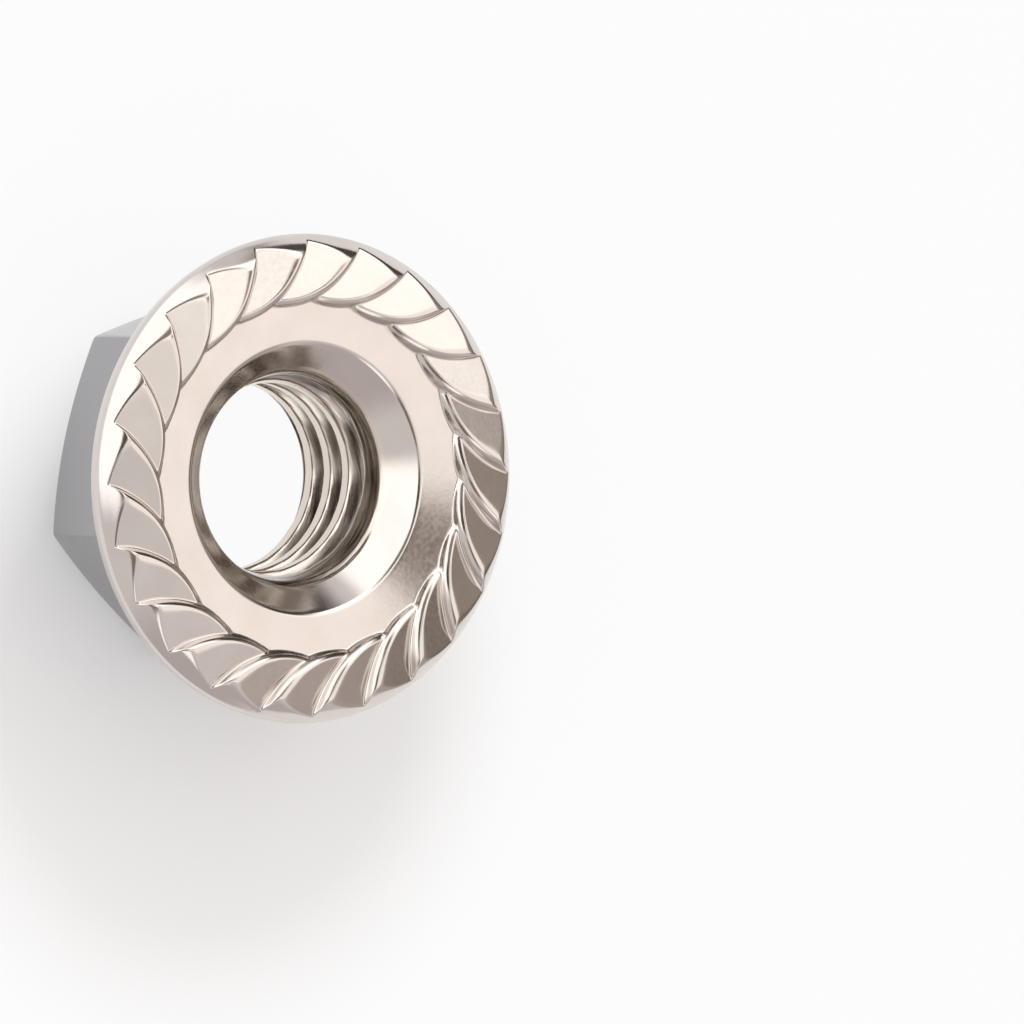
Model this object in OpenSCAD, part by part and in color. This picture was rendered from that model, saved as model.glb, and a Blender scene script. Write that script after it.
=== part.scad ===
// Serrated flange nut with a metric coarse thread, made as one solid piece.
// Millimetres, Z up. The hex end face is at z = 0 and the serrated face is on top.
// The thread is drawn as its minor-diameter bore between the two countersinks.

/* [Hexagon] */
// Width across the flats of the hexagon
across_flats = 12.9; // [11.5:0.1:14]
// Height from the hex end face to the crests of the serrations
nut_height = 8; // [6.5:0.1:9.5]
// How far the flat ring on the hex end stops short of the flats
end_ring_inset = 0.82; // [0.5:0.02:1.1]
// Height of the small step at the outer edge of that ring
end_step_h = 0.25; // [0.1:0.05:0.5]
// How far the small step leans inwards
end_step_lean = 0.12; // [0.05:0.01:0.2]
// Angle of the chamfer on the hex corners, from the end face
end_chamfer_angle = 30; // [20:1:40]

/* [Flange] */
// Outside diameter of the flange
flange_d = 17.9; // [17:0.1:20]
// Height of the flange rim below the crests
rim_t = 1.45; // [1.2:0.05:1.8]
// How far the rim leans inwards towards the hexagon
rim_lean = 0.15; // [0.05:0.05:0.3]
// Width of the chamfer between the serrated face and the rim
rim_chamfer_w = 0.7; // [0.4:0.05:0.8]
// Height of that chamfer
rim_chamfer_h = 0.8; // [0.5:0.05:0.95]
// Size of the small bevel on the rim's hexagon side
rim_bevel = 0.16; // [0.08:0.02:0.25]
// Slope of the flange's hexagon side
flange_slope = 29; // [20:1:35]
// Radius of the fillet between the flange and the hexagon
flange_fillet_r = 0.8; // [0.4:0.1:1.2]

/* [Thread] */
// Nominal diameter of the thread
thread_d = 8; // [7:0.5:9]
// Pitch of the thread
thread_pitch = 1.25; // [1:0.05:1.5]
// How much wider than its basic value the minor diameter is
minor_play = 0.25; // [0:0.01:0.26]
// Included angle of both countersinks
countersink_angle = 90; // [80:5:120]
// Countersink on the hex end, measured outwards from the nominal thread diameter
end_countersink_w = 0.68; // [0.3:0.02:0.9]
// Countersink on the serrated face, measured outwards from the nominal thread diameter
face_countersink_w = 0.95; // [0.5:0.05:1.1]

/* [Serrations] */
// Number of serrations
serration_count = 24; // [18:1:30]
// Width of the serrated ring, from the rim to the plain inner ring
serration_ring_w = 2.54; // [2:0.02:2.8]
// Radius of each curved serration wall
wall_r = 3.93; // [3.4:0.01:4.6]
// Direction in which each ramp falls, from the line to its wall's rim end
ramp_turn = 60; // [50:1:70]
// Slope of the ramps
ramp_slope = 15.4; // [12:0.1:18]
// Greatest width of the flat crest beside each wall
crest_w = 0.32; // [0.26:0.01:0.4]
// Depth of the plain ring's outer edge below the crests
recess_depth = 0.3; // [0.2:0.01:0.4]
// Further depth of the plain ring at its inner edge
dish_depth = 0.42; // [0.2:0.01:0.5]

/* [Hidden] */
$fn = 96;
finish_tint = [0.78, 0.75, 0.72];
// Room that a cutting shape needs beyond the surface it opens
cut_room = 1;
// Small overlap that keeps two surfaces from just touching
overlap = 0.06;

flat_r = across_flats / 2;
corner_r = flat_r / cos(30);
end_ring_r = flat_r - end_ring_inset;
chamfer_out_r = corner_r + cut_room;
chamfer_out_z = end_step_h + (chamfer_out_r - end_ring_r) * tan(end_chamfer_angle);

flange_r = flange_d / 2;
rim_back_r = flange_r - rim_lean;
rim_back_z = nut_height - rim_t;
rim_face_z = nut_height - rim_chamfer_h;
rim_lean_angle = atan2(rim_lean, rim_back_z - rim_face_z);

// Height of the sloped hexagon side of the flange at a given radius
function back_z(r) = rim_back_z - (rim_back_r - r) * tan(flange_slope);

fillet_x = flat_r - overlap + flange_fillet_r;
fillet_z = back_z(fillet_x) - flange_fillet_r / cos(flange_slope);
fillet_end_x = fillet_x - flange_fillet_r * sin(flange_slope);
fillet_end_z = fillet_z + flange_fillet_r * cos(flange_slope);

// Height of the basic thread triangle kept above the minor diameter, as a part of the pitch
minor_drop = 5 * sqrt(3) / 8;
thread_r = thread_d / 2;
bore_r = (thread_d - minor_drop * thread_pitch + minor_play) / 2;
cone_rise = tan(90 - countersink_angle / 2);
end_cone_r = thread_r + end_countersink_w;
face_cone_r = thread_r + face_countersink_w;

wall_centre_r = flange_r - serration_ring_w + wall_r;
// Angle from a wall's rim end to the centre of its circle, about the nut's axis
wall_turn = acos((flange_r * flange_r + wall_centre_r * wall_centre_r - wall_r * wall_r)
    / (2 * flange_r * wall_centre_r));
serration_pitch = 360 / serration_count;
half_chord = wall_centre_r * sin(serration_pitch / 2);
cusp_r = wall_centre_r * cos(serration_pitch / 2) - sqrt(wall_r * wall_r - half_chord * half_chord);
cut_span = 2 * wall_centre_r;
dish_out_r = cusp_r + overlap;

// Height of the dished inner ring at a given radius
function dish_z(r) = nut_height - recess_depth
    - dish_depth * (dish_out_r - r) / (dish_out_r - face_cone_r);

// Hexagon with the corners chamfered on the end face
module hex_body() {
    intersection() {
        cylinder(h = rim_back_z, r = corner_r, $fn = 6);
        rotate_extrude()
            polygon([
                [0, 0],
                [end_ring_r - end_step_lean, 0],
                [end_ring_r, end_step_h],
                [chamfer_out_r, chamfer_out_z],
                [chamfer_out_r, nut_height],
                [0, nut_height]
            ]);
    }
}

// Flange with a chamfered face edge, a leaning rim, a sloped back and a fillet
module flange_body() {
    rotate_extrude()
        difference() {
            polygon([
                [0, fillet_z],
                [fillet_x, fillet_z],
                [fillet_end_x, fillet_end_z],
                [rim_back_r - rim_bevel * cos(flange_slope), rim_back_z - rim_bevel * sin(flange_slope)],
                [rim_back_r - rim_bevel * sin(rim_lean_angle), rim_back_z + rim_bevel * cos(rim_lean_angle)],
                [flange_r, rim_face_z],
                [flange_r - rim_chamfer_w, nut_height],
                [0, nut_height]
            ]);
            translate([fillet_x, fillet_z])
                circle(r = flange_fillet_r);
        }
}

// One wall cylinder: material inside it belongs to the serration that it faces
module wall_cylinder(step) {
    rotate(step * serration_pitch + wall_turn)
        translate([wall_centre_r, 0, rim_back_z])
            cylinder(h = rim_t + cut_room, r = wall_r);
}

// Space above one ramp, between its own wall and the next one
module serration_cut(step) {
    intersection() {
        difference() {
            wall_cylinder(step);
            wall_cylinder(step + 1);
        }
        rotate(step * serration_pitch + wall_turn)
            translate([wall_centre_r, 0, nut_height])
                rotate(ramp_turn - wall_turn)
                    translate([crest_w - wall_r, 0, 0])
                        rotate([0, ramp_slope, 0])
                            translate([-cut_room, -cut_span / 2, 0])
                                cube([cut_span, cut_span, cut_span]);
    }
}

// Plain dished ring inside the serrations, with a scalloped edge
module recess_cut() {
    difference() {
        rotate_extrude()
            polygon([
                [0, dish_z(bore_r)],
                [bore_r, dish_z(bore_r)],
                [dish_out_r, nut_height - recess_depth],
                [dish_out_r, nut_height + cut_room / 2],
                [0, nut_height + cut_room / 2]
            ]);
        for (step = [0 : serration_count - 1])
            wall_cylinder(step);
    }
}

// Countersunk cone that starts outside the surface and ends inside the bore
module countersink(surface_r) {
    room = cut_room / 4;
    depth = (surface_r - bore_r + overlap) * cone_rise;
    translate([0, 0, -room])
        cylinder(h = room + depth, r1 = surface_r + room / cone_rise, r2 = bore_r - overlap);
}

module nut() {
    color(finish_tint)
        difference() {
            union() {
                hex_body();
                flange_body();
            }
            recess_cut();
            for (step = [0 : serration_count - 1])
                serration_cut(step);
            translate([0, 0, -cut_room])
                cylinder(h = nut_height + 2 * cut_room, r = bore_r);
            countersink(end_cone_r);
            translate([0, 0, dish_z(face_cone_r)])
                mirror([0, 0, 1])
                    countersink(face_cone_r);
        }
}

nut();
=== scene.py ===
import bpy
import numpy as np
from mathutils import Matrix, Vector


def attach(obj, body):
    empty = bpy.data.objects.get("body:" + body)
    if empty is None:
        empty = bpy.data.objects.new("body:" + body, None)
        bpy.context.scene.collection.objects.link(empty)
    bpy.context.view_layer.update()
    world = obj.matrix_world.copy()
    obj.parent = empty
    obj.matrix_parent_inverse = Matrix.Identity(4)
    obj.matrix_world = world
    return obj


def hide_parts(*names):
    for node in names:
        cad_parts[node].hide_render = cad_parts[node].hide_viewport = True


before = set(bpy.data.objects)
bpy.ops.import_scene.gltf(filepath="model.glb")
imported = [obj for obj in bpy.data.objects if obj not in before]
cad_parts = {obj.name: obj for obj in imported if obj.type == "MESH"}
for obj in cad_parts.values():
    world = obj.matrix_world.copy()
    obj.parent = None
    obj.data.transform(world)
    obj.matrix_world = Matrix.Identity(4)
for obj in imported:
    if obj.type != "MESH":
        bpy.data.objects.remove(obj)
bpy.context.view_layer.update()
print("scene: the packed nut is loaded")

mm = 0.001


def hexColour(text):
    # sRGB hex to linear: the low part is divided by 12.92, the rest is raised to the power 2.4
    parts = np.array([int(text[i:i + 2], 16) for i in (1, 3, 5)]) / 255.0
    linear = np.where(parts <= 0.04045, parts / 12.92, ((parts + 0.055) / 1.055) ** 2.4)
    return (*[float(c) for c in linear], 1.0)


def addNode(tree, kind, settings=None, inputs=None, links=None):
    # inputs are plain values by socket name or number, links are (from socket, to socket name or number)
    node = tree.nodes.new(kind)
    for name, value in (settings or {}).items():
        setattr(node, name, value)
    for name, value in (inputs or {}).items():
        node.inputs[name].default_value = value
    for source, name in (links or []):
        tree.links.new(source, node.inputs[name])
    return node


# Camera
cameraSet = {
    "aim": (-8.839, 3.989, 6.368),   # mm, the point in the middle of the picture
    "azimuth": -18.702,              # degrees about the thread axis, from +X
    "elevation": 56.582,             # looking down on the serrated face
    "distance": 552.48,              # mm
    "roll": -92.096,                 # the picture is turned so that the hex end lies to the left
    "lens": 527.34,                  # mm
    "sensor": 36.0,                  # mm wide
    "clip": (0.01, 20.0),            # metres
}


def makeCamera(s):
    # The camera sits on a sphere round the aim point, and its up direction is turned about the line of sight
    az, el, roll = (np.radians(s[k]) for k in ("azimuth", "elevation", "roll"))
    back = Vector((np.cos(el) * np.cos(az), np.cos(el) * np.sin(az), np.sin(el)))
    forward = -back
    side = forward.cross(Vector((0, 0, 1))).normalized()
    level = side.cross(forward)
    up = level * np.cos(roll) + side * np.sin(roll)
    right = forward.cross(up)
    data = bpy.data.cameras.new("camera")
    data.lens = s["lens"]
    data.sensor_width = s["sensor"]
    data.clip_start, data.clip_end = s["clip"]
    data.dof.use_dof = False
    camera = bpy.data.objects.new("camera", data)
    place = (Vector(s["aim"]) + back * s["distance"]) * mm
    camera.matrix_world = Matrix((
        (right.x, up.x, back.x, place.x),
        (right.y, up.y, back.y, place.y),
        (right.z, up.z, back.z, place.z),
        (0, 0, 0, 1)))
    bpy.context.scene.collection.objects.link(camera)
    bpy.context.scene.camera = camera


makeCamera(cameraSet)
print("scene: camera placed")

# Nut
nutShape = {
    # millimetres and degrees, z up from the hex end face
    "acrossFlats": 12.9,
    "height": 8.0,
    "hexEdge": 0.10,          # rounding of the six upright edges
    "hexEdgeCut": 0.02,       # how far they stay inside the sharp corners
    "endRing": 5.63,          # outer radius of the flat ring on the hex end
    "endRingLean": 0.12,
    "endRingStep": 0.25,
    "endChamfer": 30.0,
    "flange": 8.95,           # flange radius
    "rim": 1.45,              # rim height below the crests
    "rimLean": 0.15,
    "rimWidth": 0.67,         # chamfer between the serrated face and the rim
    "rimDrop": 0.78,
    "rimSoft": 0.42,          # rounding of the chamfer's inner edge
    "backSlope": 29.0,
    "backFillet": 0.80,
    "backSink": 0.06,         # how far the fillet runs into the flats
    "threadRadius": 4.0,
    "minorRadius": 3.45,
    "threadPitch": 1.25,
    "threadStart": 0.30,      # part of a turn
    "crestShare": 0.25,       # flat crest at the thread's full depth, as a part of the pitch
    "rootShare": 0.125,       # flat root, as a part of the pitch
    "threadSoft": 0.16,       # rounding of both, as a part of the thread's depth
    "leadIn": 1.75,           # depth at which the first crest starts
    "leadInRadius": 3.9,      # its radius there
    "leadInSlope": 0.30,      # and how far it grows inwards for each mm down
    "leadOut": 1.71,          # height below which the crests fall away
    "leadOutSlope": 0.64,     # and how far outwards for each mm down
    "leadSoft": 0.03,
    "coneRise": 45.0,         # countersink surface, from the face plane
    "coneSoft": 0.04,         # rounding where the countersinks meet the thread
    "endCone": 4.68,
    "faceCone": 4.95,
    "lipSoft": 0.12,          # rounding of the face countersink's edge
    "dishEdge": 0.46,         # depth of the plain ring at the serrations
    "dishDrop": 0.26,
    "dishUnder": 0.06,        # how far outside the cusps of the walls its slope begins
    "diveStart": 0.25,        # how much further out it dives below the serrations
    "diveSlope": 3.0,
    # how finely the surface is drawn
    "columnsPerTooth": 22,
    "hexCrowding": 0.72,      # how strongly the columns gather at the hexagon's corners, from 0 to 1
    "backPlaces": (0, 0.12, 0.28, 0.50),   # corners of the back's path, as parts of the way to the rim
    "blendStart": 0.4,        # outside the flats, where the hexagon's columns start to turn into the teeth's
    "blendEnd": 0.3,          # inside the flange's edge, where they have
    "rimPart": 0.36,          # part of the rim chamfer's width that belongs to the rim's rows
    "chamferZone": 0.25,      # inside the rim chamfer, where the face's rows grow wider apart
    "cuspZones": (0.24, 0.04, -0.34),      # outside the cusps, where they grow closer, and where they end
    "ringRows": (20, 12, 8, 16),           # points along each stretch between those places
    "endLip": 0.2,            # height over which the outside columns follow the end countersink
    "faceLip": 0.3,           # and the face countersink
    "boreRows": 124,
    "boreShare": 3,           # the bore has one column for three outside
}
teeth = {
    "count": 24,
    "ringWidth": 2.54,
    "wallRadius": 3.93,
    "rampTurn": 60.0,
    "rampSlope": 15.4,
    "crestWidth": 0.20,
    "crestSoft": 0.10,        # softness of the turn from each ramp to its crest
    "edgeWidth": 0.17,        # worn slope along the top of each wall
    "edgeSlope": 38.0,
    "edgeSoft": 0.05,         # softness of the turns on both sides of it
    "wallSteepness": 2.8,     # fall of the wall for each mm outwards
    "grooveBlend": 0.05,
    "rimBlend": 0.05,
    # mm from each wall to the columns beside it, below zero on the side of the ramp at its foot
    "besideWall": (-0.24, -0.18, -0.13, -0.08, -0.04, 0.00, 0.03, 0.06, 0.11, 0.15, 0.19, 0.25),
    "leastTilt": 0.45,        # keeps those columns from spreading where a wall runs along the ring
}


def smoothStep(low, high, x):
    t = np.clip((x - low) / (high - low), 0, 1)
    return t * t * (3 - 2 * t)


def softMax(a, b, width):
    # The larger of two heights, with a rise of a quarter of the width where they meet
    gap = np.clip(1 - np.abs(a - b) / width, 0, 1)
    return np.maximum(a, b) + width * gap * gap / 4


def softMin(a, b, width):
    return -softMax(-a, -b, width)


def roundedRows(path, columns):
    # Rows along a path with rounded corners. A corner is its radius and height, which may differ from column
    # to column, how far its curve reaches, the rows in that curve, and the rows in the straight run after it.
    # A curve is quadratic: (1 - t) squared of its start, 2 t (1 - t) of the corner and t squared of its end
    places = [np.column_stack([np.broadcast_to(v, columns) for v in corner[:2]]) for corner in path]
    reaches, curveRows, straightRows = zip(*[corner[2:] for corner in path])
    longest = 0.48            # the most of a straight run that one curve may take
    ends = []
    for i in range(len(path) - 1):
        run = places[i + 1] - places[i]
        length = np.maximum(np.linalg.norm(run, axis=1, keepdims=True), 1e-9)
        first, final = (np.minimum(reach, length * longest) for reach in reaches[i:i + 2])
        ends.append((places[i] + run / length * first, places[i + 1] - run / length * final))
    rows = []
    for i, (start, stop) in enumerate(ends):
        if i:
            before = ends[i - 1][1]
            for t in np.linspace(0, 1, curveRows[i] + 2)[1:-1]:
                rows.append(before * (1 - t) ** 2 + places[i] * 2 * t * (1 - t) + start * t * t)
        for t in np.linspace(0, 1, straightRows[i] + 2):
            rows.append(start * (1 - t) + stop * t)
    return np.array(rows)


def derivedSizes(s, t):
    # Each wall is an arc round a centre outside the flange. The turn from its rim end to that centre comes
    # from the law of cosines, and two neighbouring walls meet in a cusp half a pitch from both centres
    wall, centre = t["wallRadius"], s["flange"] - t["ringWidth"] + t["wallRadius"]
    cosine = (s["flange"] ** 2 + centre ** 2 - wall ** 2) / (2 * s["flange"] * centre)
    half = np.radians(180 / t["count"])
    cusp = centre * np.cos(half) - np.sqrt(wall ** 2 - (centre * np.sin(half)) ** 2)
    return {
        "wall": wall,
        "centre": centre,
        "turn": np.degrees(np.arccos(cosine)),
        "cusp": cusp,
        "dishOut": cusp + s["dishUnder"],
        "flat": s["acrossFlats"] / 2,
        "rimBack": s["flange"] - s["rimLean"],
        "backTop": s["height"] - s["rim"],
        "chamferR": s["flange"] - s["rimPart"] * s["rimWidth"],
        "chamferZ": s["height"] - (1 - s["rimPart"]) * s["rimDrop"],
        "coneSlope": np.tan(np.radians(s["coneRise"])),
        "lipZ": s["height"] - s["dishEdge"] - s["dishDrop"],
    }


def wallAngle(r, c):
    # Angle from a wall's rim end to the wall at radius r, by the law of cosines in the triangle of that
    # radius, the centre's distance and the wall's radius
    r = np.maximum(r, c["cusp"])
    cosine = (r * r + c["centre"] ** 2 - c["wall"] ** 2) / (2 * r * c["centre"])
    return c["turn"] - np.degrees(np.arccos(np.clip(cosine, -1, 1)))


def serratedHeight(r, angle, s, c, t):
    # Height above the crest plane: the highest of the ramps whose circles hold the point, and the dished ring
    x, y = r * np.cos(np.radians(angle)), r * np.sin(np.radians(angle))
    inwards = np.clip((c["dishOut"] - r) / (c["dishOut"] - s["faceCone"]), 0, None)
    dive = np.clip(r - c["dishOut"] - s["diveStart"], 0, None)
    best = -s["dishEdge"] - s["dishDrop"] * inwards - s["diveSlope"] * dive
    rampFall, edgeFall = (np.tan(np.radians(t[k])) for k in ("rampSlope", "edgeSlope"))
    step = 360 / t["count"]
    nearest = np.floor((angle - wallAngle(r, c)) / step + 0.5)
    for shift in (-2, -1, 0, 1):
        k = (nearest + shift) * step
        middle = np.radians(k + c["turn"])
        dx, dy = x - c["centre"] * np.cos(middle), y - c["centre"] * np.sin(middle)
        inside = t["wallRadius"] - np.hypot(dx, dy)
        fall = np.radians(k + t["rampTurn"])
        along = dx * np.cos(fall) + dy * np.sin(fall) + t["wallRadius"] - t["crestWidth"]
        ramp = -rampFall * softMax(along, 0, t["crestSoft"])
        # the worn slope along the top of the wall, and the rest of the wall outside its circle
        drop = edgeFall * softMax(t["edgeWidth"] - inside, 0, t["edgeSoft"])
        drop = drop + (t["wallSteepness"] - edgeFall) * softMax(-inside, 0, t["edgeSoft"])
        best = softMax(best, ramp - drop, t["grooveBlend"])
    return best


def threadRadius(z, angle, s):
    # Internal thread: flat crests, 30 degree flanks and narrow rounded roots, five eighths as deep as the
    # sharp triangle, whose height is half the pitch times the square root of three
    pitch, soft = s["threadPitch"], s["threadSoft"]
    depth = 5 * np.sqrt(3) / 16 * pitch
    phase = np.abs((z / pitch - angle / 360 + s["threadStart"]) % 1 - 0.5) * 2
    rise = (phase - s["crestShare"]) / (1 - s["crestShare"] - s["rootShare"])
    thread = s["threadRadius"] - depth + depth * softMin(softMax(rise, 0, soft), 1, soft)
    # the first and last crests are cut away by steep cones, and all crests end at the minor radius
    first = s["leadInRadius"] - s["leadInSlope"] * (s["height"] - z - s["leadIn"])
    last = s["minorRadius"] + s["leadOutSlope"] * (s["leadOut"] - z)
    return softMax(thread, np.maximum(np.maximum(first, last), s["minorRadius"]), s["leadSoft"])


def backHeight(r, s, c):
    # Hexagon side of the flange: a straight slope outside, then the round of the fillet towards the flats
    slope = np.radians(s["backSlope"])
    line = c["backTop"] - (c["rimBack"] - r) * np.tan(slope)
    filletX = c["flat"] - s["backSink"] + s["backFillet"]
    filletZ = c["backTop"] - (c["rimBack"] - filletX) * np.tan(slope) - s["backFillet"] / np.cos(slope)
    lean = np.clip((filletX - r) / s["backFillet"], -1, 1)
    curve = filletZ + s["backFillet"] * np.sqrt(1 - lean * lean)
    return np.where(r < filletX - s["backFillet"] * np.sin(slope), curve, line)


def hexColumns(even, s, c):
    # Angle and radius of each column round the hexagon: half its width over the cosine of the angle from the
    # middle of the side, rounded at the corners. A sine wave moves evenly spaced columns towards the corners
    side = (even % 60) / 60
    moved = side - s["hexCrowding"] * np.sin(2 * np.pi * side) / (2 * np.pi)
    angles = 60 * np.floor(even / 60) + 60 * moved
    turned = np.radians(angles % 60 - 30)
    corner = c["flat"] / np.cos(np.pi / 6) - s["hexEdgeCut"]
    return angles, softMin(c["flat"] / np.cos(turned), corner, s["hexEdge"])


def outerRows(hexRadius, s, c):
    # Hex end, corner chamfer, upright sides, fillet, flange back and rim. The back's curve is followed
    # through a few places between the hexagon and the rim
    chamferTop = s["endRingStep"] + (hexRadius - s["endRing"]) * np.tan(np.radians(s["endChamfer"]))
    onBack = [hexRadius + part * (c["rimBack"] - hexRadius) for part in s["backPlaces"]]
    return roundedRows([
        (s["endCone"] - s["endLip"] / c["coneSlope"], s["endLip"], 0, 0, 1),
        (s["endCone"], 0, 0.05, 3, 3),
        (s["endRing"] - s["endRingLean"], 0, 0.10, 3, 1),
        (s["endRing"], s["endRingStep"], 0.10, 3, 5),
        (hexRadius, chamferTop, 0.10, 4, 4),
        (onBack[0], backHeight(onBack[0], s, c), 0.22, 5, 0),
        (onBack[1], backHeight(onBack[1], s, c), 0.12, 1, 0),
        (onBack[2], backHeight(onBack[2], s, c), 0.20, 1, 0),
        (onBack[3], backHeight(onBack[3], s, c), 0.30, 1, 4),
        (c["rimBack"], c["backTop"], 0.22, 4, 2),
        (s["flange"], s["height"] - s["rimDrop"], 0.17, 5, 1),
        (c["chamferR"], c["chamferZ"], 0, 0, 0),
    ], len(hexRadius))


def toothAngles(r, s, c, t):
    # Angles of the columns of the serrated ring at each radius: some keep a fixed distance from each wall,
    # measured square to it, and the rest share the ramp evenly
    r = np.maximum(np.asarray(r, float), c["cusp"])
    wall = wallAngle(r, c)
    tilt = np.maximum(c["centre"] * np.sin(np.radians(c["turn"] - wall)) / c["wall"], t["leastTilt"])
    near = np.degrees(np.array(t["besideWall"]) / (r * tilt)[:, None])
    pitch = 360 / t["count"]
    onRamp = s["columnsPerTooth"] - len(t["besideWall"])
    part = np.arange(1, onRamp + 1) / (onRamp + 1)
    far = near[:, -1:] + (pitch + near[:, :1] - near[:, -1:]) * part
    one = np.concatenate([near, far], 1) + wall[:, None]
    return (np.arange(t["count"])[None, :, None] * pitch + one[:, None, :]).reshape(len(r), -1)


def serratedRows(s, c, t):
    # Rim chamfer and serrations, inwards: the lower of the chamfer's slope and the serrations' height
    chamferIn = s["flange"] - s["rimWidth"]
    places = (c["chamferR"], chamferIn - s["chamferZone"], *[c["cusp"] + out for out in s["cuspZones"]])
    stretches = zip(places[:-1], places[1:], s["ringRows"])
    ringR = np.concatenate([np.linspace(start, stop, rows)[1:] for start, stop, rows in stretches])
    angles = toothAngles(ringR, s, c, t)
    r = np.broadcast_to(ringR[:, None], angles.shape)
    rimZ = softMin((chamferIn - r) * s["rimDrop"] / s["rimWidth"], 0, s["rimSoft"])
    z = s["height"] + softMin(serratedHeight(r, angles, s, c, t), rimZ, t["rimBlend"])
    return r, z, angles


def roundAxis(r, z, angle):
    # Radius, height in mm and angle of each grid point to a place in metres
    a = np.radians(angle)
    return np.stack([r * np.cos(a), r * np.sin(a), z], -1).reshape(-1, 3) * mm


def quads(rings):
    # Four-sided faces between neighbouring rings
    first, second = rings[:-1], rings[1:]
    corners = [first, np.roll(first, -1, 1), np.roll(second, -1, 1), second]
    return np.stack(corners, -1).reshape(-1, 4).tolist()


def joiningFaces(many, few, turned):
    # Faces between an outside ring and a bore ring: each has one edge of the bore and the several outside
    # edges beside it
    groups = many.reshape(len(few), -1)
    faces = np.column_stack([groups, np.roll(groups[:, 0], -1), np.roll(few, -1), few])
    return (faces[:, ::-1] if turned else faces).tolist()


def nutSurface(s, t):
    # Rows run once round the cross-section and columns run round the axis, so the grid closes both ways
    c = derivedSizes(s, t)
    columns = t["count"] * s["columnsPerTooth"]
    even = np.arange(columns) * 360 / columns

    # outside, where the hexagon's columns turn into the serrations' on the back of the flange
    hexAngles, hexRadius = hexColumns(even, s, c)
    outer = outerRows(hexRadius, s, c)
    rowRadius = outer[..., 0].mean(1)[:, None]
    spread = smoothStep(c["flat"] + s["blendStart"], s["flange"] - s["blendEnd"], rowRadius)
    spread[: len(spread) // 2] = 0
    outerAngles = hexAngles * (1 - spread) + toothAngles([s["flange"]], s, c, t) * spread

    faceR, faceZ, faceAngles = serratedRows(s, c, t)

    # plain dished ring and the lip of the countersink, where the columns become evenly spaced
    inner = roundedRows([
        (faceR[-1, 0], faceZ[-1].mean(), 0, 0, 9),
        (s["faceCone"], c["lipZ"], s["lipSoft"], 4, 1),
        (s["faceCone"] - s["faceLip"] / c["coneSlope"], c["lipZ"] - s["faceLip"], 0, 0, 0),
    ], columns)[1:]
    settle = smoothStep(0, 1, np.linspace(0, 1, len(inner)))[:, None]
    boreTurn = wallAngle(c["cusp"], c)
    innerAngles = faceAngles[-1:] * (1 - settle) + (even + boreTurn) * settle

    # bore: the widest of the two countersinks and the thread, in rows of equal height
    boreAngles = even[::s["boreShare"]] + np.linspace(1, 0, s["boreRows"])[:, None] * boreTurn
    boreZ = np.linspace(inner[-1, 0, 1], outer[0, 0, 1], s["boreRows"] + 2)[1:-1]
    boreZ = np.broadcast_to(boreZ[:, None], boreAngles.shape)
    faceCone = s["faceCone"] - (c["lipZ"] - boreZ) / c["coneSlope"]
    endCone = s["endCone"] - boreZ / c["coneSlope"]
    boreR = softMax(np.maximum(faceCone, endCone), threadRadius(boreZ, boreAngles, s), s["coneSoft"])

    wideR = np.concatenate([outer[..., 0], faceR, inner[..., 0]])
    wideZ = np.concatenate([outer[..., 1], faceZ, inner[..., 1]])
    wideAngles = np.concatenate([outerAngles, faceAngles, innerAngles])
    points = np.concatenate([roundAxis(wideR, wideZ, wideAngles), roundAxis(boreR, boreZ, boreAngles)])

    wide = np.arange(wideR.size).reshape(wideR.shape)
    bore = wideR.size + np.arange(boreR.size).reshape(boreR.shape)
    joined = joiningFaces(wide[-1], bore[0], False) + joiningFaces(wide[0], bore[-1], True)
    return points, quads(wide) + quads(bore) + joined


def makePiece(name, points, faces, body):
    mesh = bpy.data.meshes.new(name)
    mesh.from_pydata(points, [], faces)
    mesh.polygons.foreach_set("use_smooth", np.ones(len(mesh.polygons), bool))
    mesh.update()
    piece = bpy.data.objects.new(name, mesh)
    bpy.context.scene.collection.objects.link(piece)
    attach(piece, body)
    return piece


points, faces = nutSurface(nutShape, teeth)
nut = makePiece("serratedNut", points, faces, "root")
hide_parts("nut")
print("scene: nut made,", len(points), "points,", len(faces), "faces")

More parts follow.
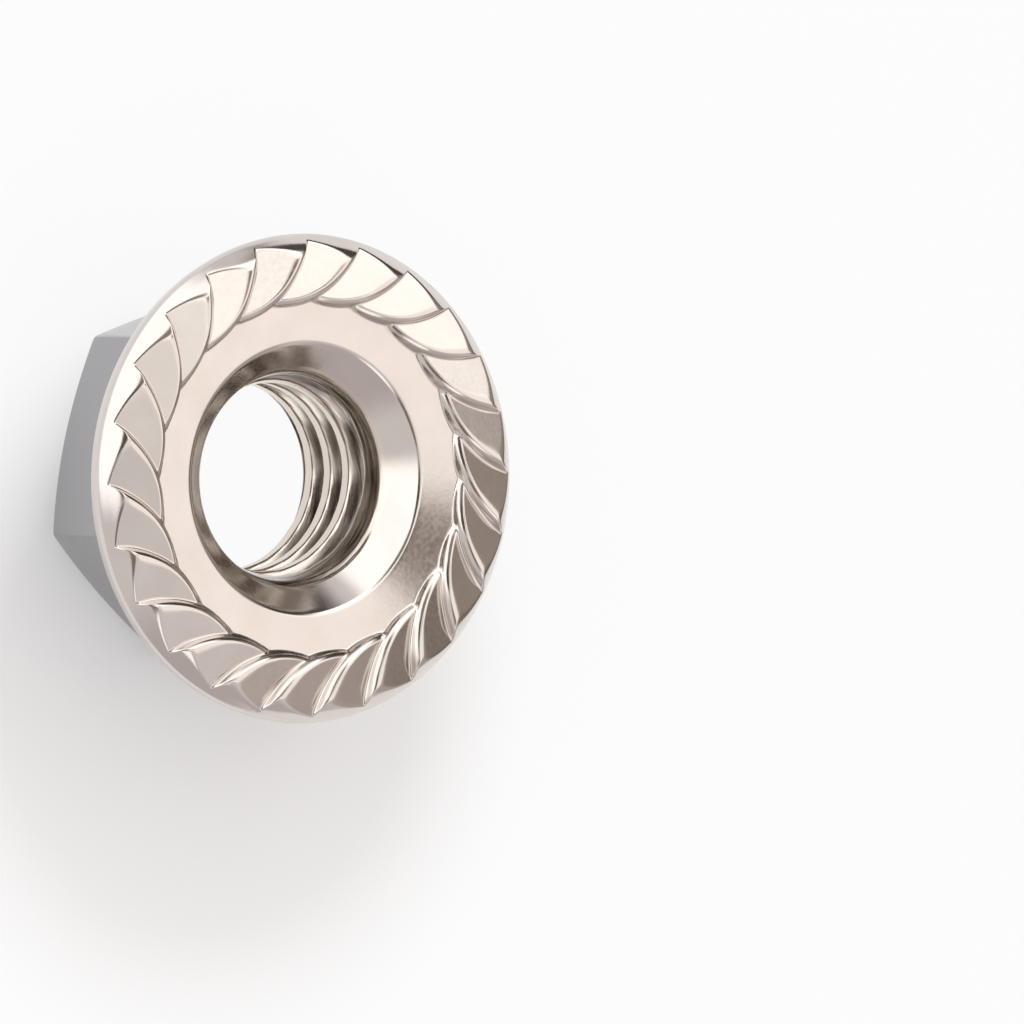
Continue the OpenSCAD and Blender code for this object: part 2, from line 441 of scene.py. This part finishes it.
# Finish of the nut
steelFinish = {
    "paleTone": "#E0D9D4",
    "deepTone": "#D2CAC3",
    "threadTone": "#E0D6CC",   # crests of the cut thread
    "rootShadeTone": "#4A4039",     # painted shade in its roots: dark brown where the thread's hollows lie in shade
    "rootShadeLeast": -0.25,       # share of the painted root shade between turning marks, none below zero
    "rootShadeSwing": 1.9,         # and how much the marks add to it
    "flatShadeTone": "#A8A8AA",     # painted shade on the hexagon's sides: a darker grey that stands in for the dark surroundings they mirror
    "flatTop": 6.3,            # mm, this painted shade ends between these heights
    "flatFade": 6.0,
    "flatIn": 5.2,             # mm, and outside these radii
    "flatOut": 5.7,
    "flatPlane": 6.50,         # mm, and between these distances from the axis, square to the nearest flat
    "flatEdge": 6.62,
    "rootIn": 3.52,            # mm, the painted root shade grows between these radii
    "rootOut": 3.78,
    "rootTop": 6.35,           # mm, and fades out between these heights
    "rootFade": 6.0,
    "blotch": 1.6,             # mm across, slight changes of tone from tumbling
    "dent": 0.9,               # mm across, soft unevenness left by forging
    "scuff": 0.16,             # mm, tumbling scuffs, drawn four times as coarse as the real ones
    "toolMark": 0.11,          # mm between turning marks in the bore, drawn twice as coarse as the real ones
    "markStretch": 0.06,       # their width, as a part of their length round the bore
    "fineShare": 0.55,         # strength of each finer layer of a noise, as a part of the layer before
    "scuffRange": (0.3, 0.7),  # values between which most of the scuffs' noise lies
    "dentDepth": 0.0022,       # mm
    "scuffDepth": 0.0009,
    "toolDepth": 0.009,
    "polished": 0.10,          # roughness of the burnished high places
    "worn": 0.16,              # roughness where the scuffs are thickest
    "cut": 0.04,               # extra roughness in the cut thread
    "boreIn": 3.98,            # mm, the thread's finish ends between these radii
    "boreOut": 4.12,
}


def makeSteel(s):
    # Cold-forged A2 stainless steel, tumbled bright: a warm grey mirror, slightly soft and uneven,
    # with a duller, browner cut thread whose turning marks run round the bore, and painted shade on the
    # hexagon's sides and in the thread's roots
    material = bpy.data.materials.new("tumbledStainlessSteel")
    material.use_nodes = True
    tree = material.node_tree
    shader = tree.nodes["Principled BSDF"]
    shader.inputs["Metallic"].default_value = 1.0

    place = addNode(tree, "ShaderNodeTexCoord")
    inMm = addNode(tree, "ShaderNodeVectorMath", {"operation": "MULTIPLY"}, {1: (1 / mm, 1 / mm, 1 / mm)},
                   [(place.outputs["Object"], 0)]).outputs["Vector"]
    flattened = addNode(tree, "ShaderNodeVectorMath", {"operation": "MULTIPLY"}, {1: (1, 1, 0)}, [(inMm, 0)])
    radius = addNode(tree, "ShaderNodeVectorMath", {"operation": "LENGTH"}, None,
                     [(flattened.outputs["Vector"], 0)]).outputs["Value"]
    level = addNode(tree, "ShaderNodeSeparateXYZ", None, None, [(inMm, 0)]).outputs["Z"]

    # greatest distance from the axis towards one of the six flats
    hexDistance = None
    for facing in np.radians((30, 90, 150, 210, 270, 330)):
        towards = addNode(tree, "ShaderNodeVectorMath", {"operation": "DOT_PRODUCT"},
                          {1: (np.cos(facing), np.sin(facing), 0)}, [(inMm, 0)])
        hexDistance = addNode(tree, "ShaderNodeMath", {"operation": "MAXIMUM"}, {1: 0},
                              [(towards.outputs["Value"], 0)]
                              + ([(hexDistance, 1)] if hexDistance else [])).outputs["Value"]

    # each mask is 0 at its first distance and 1 at its second
    mask = {}
    for name, source, low, high in (
            ("bore", radius, s["boreOut"], s["boreIn"]),
            ("root", radius, s["rootIn"], s["rootOut"]),
            ("belowLip", level, s["rootTop"], s["rootFade"]),
            ("belowFlange", level, s["flatTop"], s["flatFade"]),
            ("outside", radius, s["flatIn"], s["flatOut"]),
            ("onFlats", hexDistance, s["flatEdge"], s["flatPlane"])):
        mask[name] = addNode(tree, "ShaderNodeMapRange", {"interpolation_type": "SMOOTHSTEP"},
                             {"From Min": low, "From Max": high}, [(source, "Value")]).outputs["Result"]

    # turning marks are long round the axis and short along it
    drawnOut = addNode(tree, "ShaderNodeVectorMath", {"operation": "MULTIPLY"},
                       {1: (s["markStretch"], s["markStretch"], 1)}, [(inMm, 0)])
    # each noise has its size and its number of finer layers
    noise = {}
    for name, source, layers in (
            ("blotch", inMm, 2),
            ("dent", inMm, 1),
            ("scuff", inMm, 3),
            ("toolMark", drawnOut.outputs["Vector"], 2)):
        noise[name] = addNode(tree, "ShaderNodeTexNoise", None,
                              {"Scale": 1 / s[name], "Detail": layers, "Roughness": s["fineShare"]},
                              [(source, "Vector")]).outputs["Fac"]

    # shares that come from two masks, or from a mask and the turning marks
    # painted shade in the thread's roots, made uneven along the turning marks
    unevenRootShade = addNode(tree, "ShaderNodeMath", {"operation": "MULTIPLY_ADD"},
                          {1: s["rootShadeSwing"], 2: s["rootShadeLeast"]}, [(noise["toolMark"], 0)]).outputs["Value"]
    share = {}
    for name, first, second in (
            ("sides", mask["belowFlange"], mask["outside"]),
            ("boreMark", mask["bore"], noise["toolMark"]),
            ("rootInBore", mask["bore"], mask["root"]),
            ("rootShadePlace", mask["belowLip"], unevenRootShade)):
        share[name] = addNode(tree, "ShaderNodeMath", {"operation": "MULTIPLY"}, None,
                              [(first, 0), (second, 1)]).outputs["Value"]
    for name, first, second in (
            # painted shade: where the hexagon's sides get their darker grey
            ("flats", share["sides"], mask["onFlats"]),
            ("rootShade", share["rootInBore"], share["rootShadePlace"])):
        share[name] = addNode(tree, "ShaderNodeMath", {"operation": "MULTIPLY", "use_clamp": True}, None,
                              [(first, 0), (second, 1)]).outputs["Value"]

    # colour, one tone laid over another; the flats' grey and the roots' dark brown are painted shade
    under = None
    for amount, tone in ((noise["blotch"], "deepTone"), (share["flats"], "flatShadeTone"),
                         (mask["bore"], "threadTone"), (share["rootShade"], "rootShadeTone")):
        under = addNode(tree, "ShaderNodeMix", {"data_type": "RGBA"},
                        {6: hexColour(s["paleTone"]), 7: hexColour(s[tone])},
                        [(amount, 0)] + ([(under, 6)] if under else [])).outputs[2]
    tree.links.new(under, shader.inputs["Base Color"])

    # roughness follows the scuffs, and the cut thread is rougher
    low, high = s["scuffRange"]
    tumbled = addNode(tree, "ShaderNodeMapRange", None,
                      {"From Min": low, "From Max": high, "To Min": s["polished"], "To Max": s["worn"]},
                      [(noise["scuff"], "Value")])
    roughness = addNode(tree, "ShaderNodeMath", {"operation": "MULTIPLY_ADD"}, {1: s["cut"]},
                        [(mask["bore"], 0), (tumbled.outputs["Result"], 2)])
    tree.links.new(roughness.outputs["Value"], shader.inputs["Roughness"])

    # height of the marks in mm, added up
    height = None
    for source, depth in ((noise["dent"], "dentDepth"), (noise["scuff"], "scuffDepth"),
                          (share["boreMark"], "toolDepth")):
        height = addNode(tree, "ShaderNodeMath", {"operation": "MULTIPLY_ADD"}, {1: s[depth], 2: 0},
                         [(source, 0)] + ([(height, 2)] if height else [])).outputs["Value"]
    bump = addNode(tree, "ShaderNodeBump", None, {"Distance": mm}, [(height, "Height")])
    tree.links.new(bump.outputs["Normal"], shader.inputs["Normal"])
    return material


nut.data.materials.append(makeSteel(steelFinish))
print("scene: steel finish made")

# Studio
studio = {
    "floorTone": "#FAFAFB",
    "floorHalf": 4.0,          # metres
    "floorRoughness": 0.9,
    "floorSpecular": 0.1,      # a card without coating
    "glowInside": 0.94,        # painted light: share of plain white in what is seen of the floor, under the hole, where the nut's shade falls
    "glowAround": 0.20,        # the same around the nut, where the rest keeps its shadow
    "glowAway": 0.85,          # the same past the shadow
    "glowIn": 4.6,             # mm, the first two shares meet between these distances from the thread axis
    "glowOut": 6.4,
    "shadowMiddle": (2.0, 7.5),   # mm, past these distances from this point the floor is painted mostly white, so its shadow stays only on this side of the nut
    "shadowIn": 6.0,           # mm, the last two meet between these distances from there
    "shadowOut": 15.0,
    "farShadeTone": "#E2E0DE",      # painted shade: the far floor is darker, seen only in the rim and in low views
    "farIn": 50.0,             # mm, the floor changes to it between these distances
    "farOut": 700.0,
    "fill": "#E4E1E0",         # plain room light from every side
    "areas": [
        # azimuth, elevation, inner and outer half-angle in degrees, colour, strength
        (75, 15, 18, 46, "#C8C1C2", 1.0),      # grey side wall
        (304, 28, 38, 52, "#FFFFFF", 1.55),    # long soft light
        (150, 85, 8, 20, "#FFFBF7", 1.05),     # ceiling
        (212, 62, 20, 31, "#FFFDFA", 1.55),    # soft light over the serrations
        (160, 56, 19, 25, "#FEF8F4", 1.28),    # round reflector over the plain ring
        (140, 18, 14, 24, "#BDB3AF", 1.0),     # grey low wall
        (165, 10, 16, 25, "#837972", 1.0),     # brown corner of the room
        (212, 12, 18, 34, "#504A46", 1.0),     # dark corner of the room
        (182, 24, 10, 17, "#A1968E", 1.0),     # brown card
        (43, 60, 10, 19, "#857D77", 1.0),      # dark card
        (275, 60, 10, 20, "#948D87", 1.0),     # dark card
        (328, 64, 9, 18, "#5A524C", 1.0),      # dark cloth behind the camera
        (234, 38, 9, 19, "#FFFFFF", 1.80),     # small lamps that reach into the thread
        (70, 45, 7, 15, "#FFFFFF", 1.45),
        (193, 74, 4, 9, "#857A73", 1.0),       # small dark card
    ],
}


def makeCard(s):
    # Matt white card, with painted shade far away. What the camera and the steel see of it is part plain
    # white, which is painted light where it hides the shadow under the hole and on all but one side of the
    # nut, and the rest keeps the shadow
    material = bpy.data.materials.new("paleCard")
    material.use_nodes = True
    tree = material.node_tree
    shader = tree.nodes["Principled BSDF"]
    shader.inputs["Roughness"].default_value = s["floorRoughness"]
    shader.inputs["Specular IOR Level"].default_value = s["floorSpecular"]
    place = addNode(tree, "ShaderNodeTexCoord").outputs["Object"]
    away = addNode(tree, "ShaderNodeVectorMath", {"operation": "LENGTH"}, None, [(place, 0)]).outputs["Value"]
    middle = (*[c * mm for c in s["shadowMiddle"]], 0)
    fromShadow = addNode(tree, "ShaderNodeVectorMath", {"operation": "DISTANCE"}, {1: middle},
                         [(place, 0)]).outputs["Value"]

    # each changes smoothly from one distance in mm and value to another
    change = {}
    for name, source, low, high, first, last in (
            ("inner", away, s["glowIn"], s["glowOut"], s["glowInside"], s["glowAround"]),
            ("outer", fromShadow, s["shadowIn"], s["shadowOut"], 0, s["glowAway"]),
            ("near", away, s["farOut"], s["farIn"], 0, 1)):
        change[name] = addNode(tree, "ShaderNodeMapRange", {"interpolation_type": "SMOOTHSTEP"},
                               {"From Min": low * mm, "From Max": high * mm, "To Min": first, "To Max": last},
                               [(source, "Value")]).outputs["Result"]
    # painted shade: the floor's tone darkens far away
    tone = addNode(tree, "ShaderNodeMix", {"data_type": "RGBA"},
                   {6: hexColour(s["farShadeTone"]), 7: hexColour(s["floorTone"])}, [(change["near"], 0)])
    tree.links.new(tone.outputs[2], shader.inputs["Base Color"])

    # share of plain white: the larger of the two near the nut, none far away, and only in what is seen
    rays = addNode(tree, "ShaderNodeLightPath").outputs
    share = change["inner"]
    for operation, other in (("MAXIMUM", change["outer"]), ("MULTIPLY", change["near"])):
        share = addNode(tree, "ShaderNodeMath", {"operation": operation}, None,
                        [(share, 0), (other, 1)]).outputs["Value"]
    seen = rays["Is Camera Ray"]
    for operation, other in (("MAXIMUM", rays["Is Glossy Ray"]), ("MAXIMUM", rays["Is Transmission Ray"]),
                             ("MULTIPLY", share)):
        seen = addNode(tree, "ShaderNodeMath", {"operation": operation}, None,
                       [(seen, 0), (other, 1)]).outputs["Value"]
    white = addNode(tree, "ShaderNodeEmission", None, {"Color": hexColour("#FFFFFF"), "Strength": 1.0})
    mixed = addNode(tree, "ShaderNodeMixShader", None, None,
                    [(seen, 0), (shader.outputs["BSDF"], 1), (white.outputs["Emission"], 2)])
    tree.links.new(mixed.outputs["Shader"], tree.nodes["Material Output"].inputs["Surface"])
    return material


def makeFloor(s):
    h = s["floorHalf"]
    mesh = bpy.data.meshes.new("floor")
    mesh.from_pydata([(-h, -h, 0), (h, -h, 0), (h, h, 0), (-h, h, 0)], [], [(0, 1, 2, 3)])
    floor = bpy.data.objects.new("floor", mesh)
    bpy.context.scene.collection.objects.link(floor)
    mesh.materials.append(makeCard(s))


def makeWorld(s):
    # Each area is a soft round patch of the sky: the cosine of the angle from its middle goes through
    # a smooth step
    world = bpy.data.worlds.new("studio")
    bpy.context.scene.world = world
    world.use_nodes = True
    tree = world.node_tree
    sky = addNode(tree, "ShaderNodeTexCoord").outputs["Generated"]
    under = None
    for azimuth, elevation, inner, outer, tone, strength in s["areas"]:
        az, el = np.radians(azimuth), np.radians(elevation)
        middle = (np.cos(el) * np.cos(az), np.cos(el) * np.sin(az), np.sin(el))
        cosine = addNode(tree, "ShaderNodeVectorMath", {"operation": "DOT_PRODUCT"}, {1: middle}, [(sky, 0)])
        inside = addNode(tree, "ShaderNodeMapRange", {"interpolation_type": "SMOOTHSTEP"},
                         {"From Min": np.cos(np.radians(outer)), "From Max": np.cos(np.radians(inner))},
                         [(cosine.outputs["Value"], "Value")])
        level = (*[c * strength for c in hexColour(tone)[:3]], 1.0)
        under = addNode(tree, "ShaderNodeMix", {"data_type": "RGBA"}, {6: hexColour(s["fill"]), 7: level},
                        [(inside.outputs["Result"], 0)] + ([(under, 6)] if under else [])).outputs[2]
    tree.links.new(under, tree.nodes["Background"].inputs["Color"])


makeFloor(studio)
makeWorld(studio)
bpy.context.scene.view_settings.view_transform = "Standard"
print("scene: studio made")
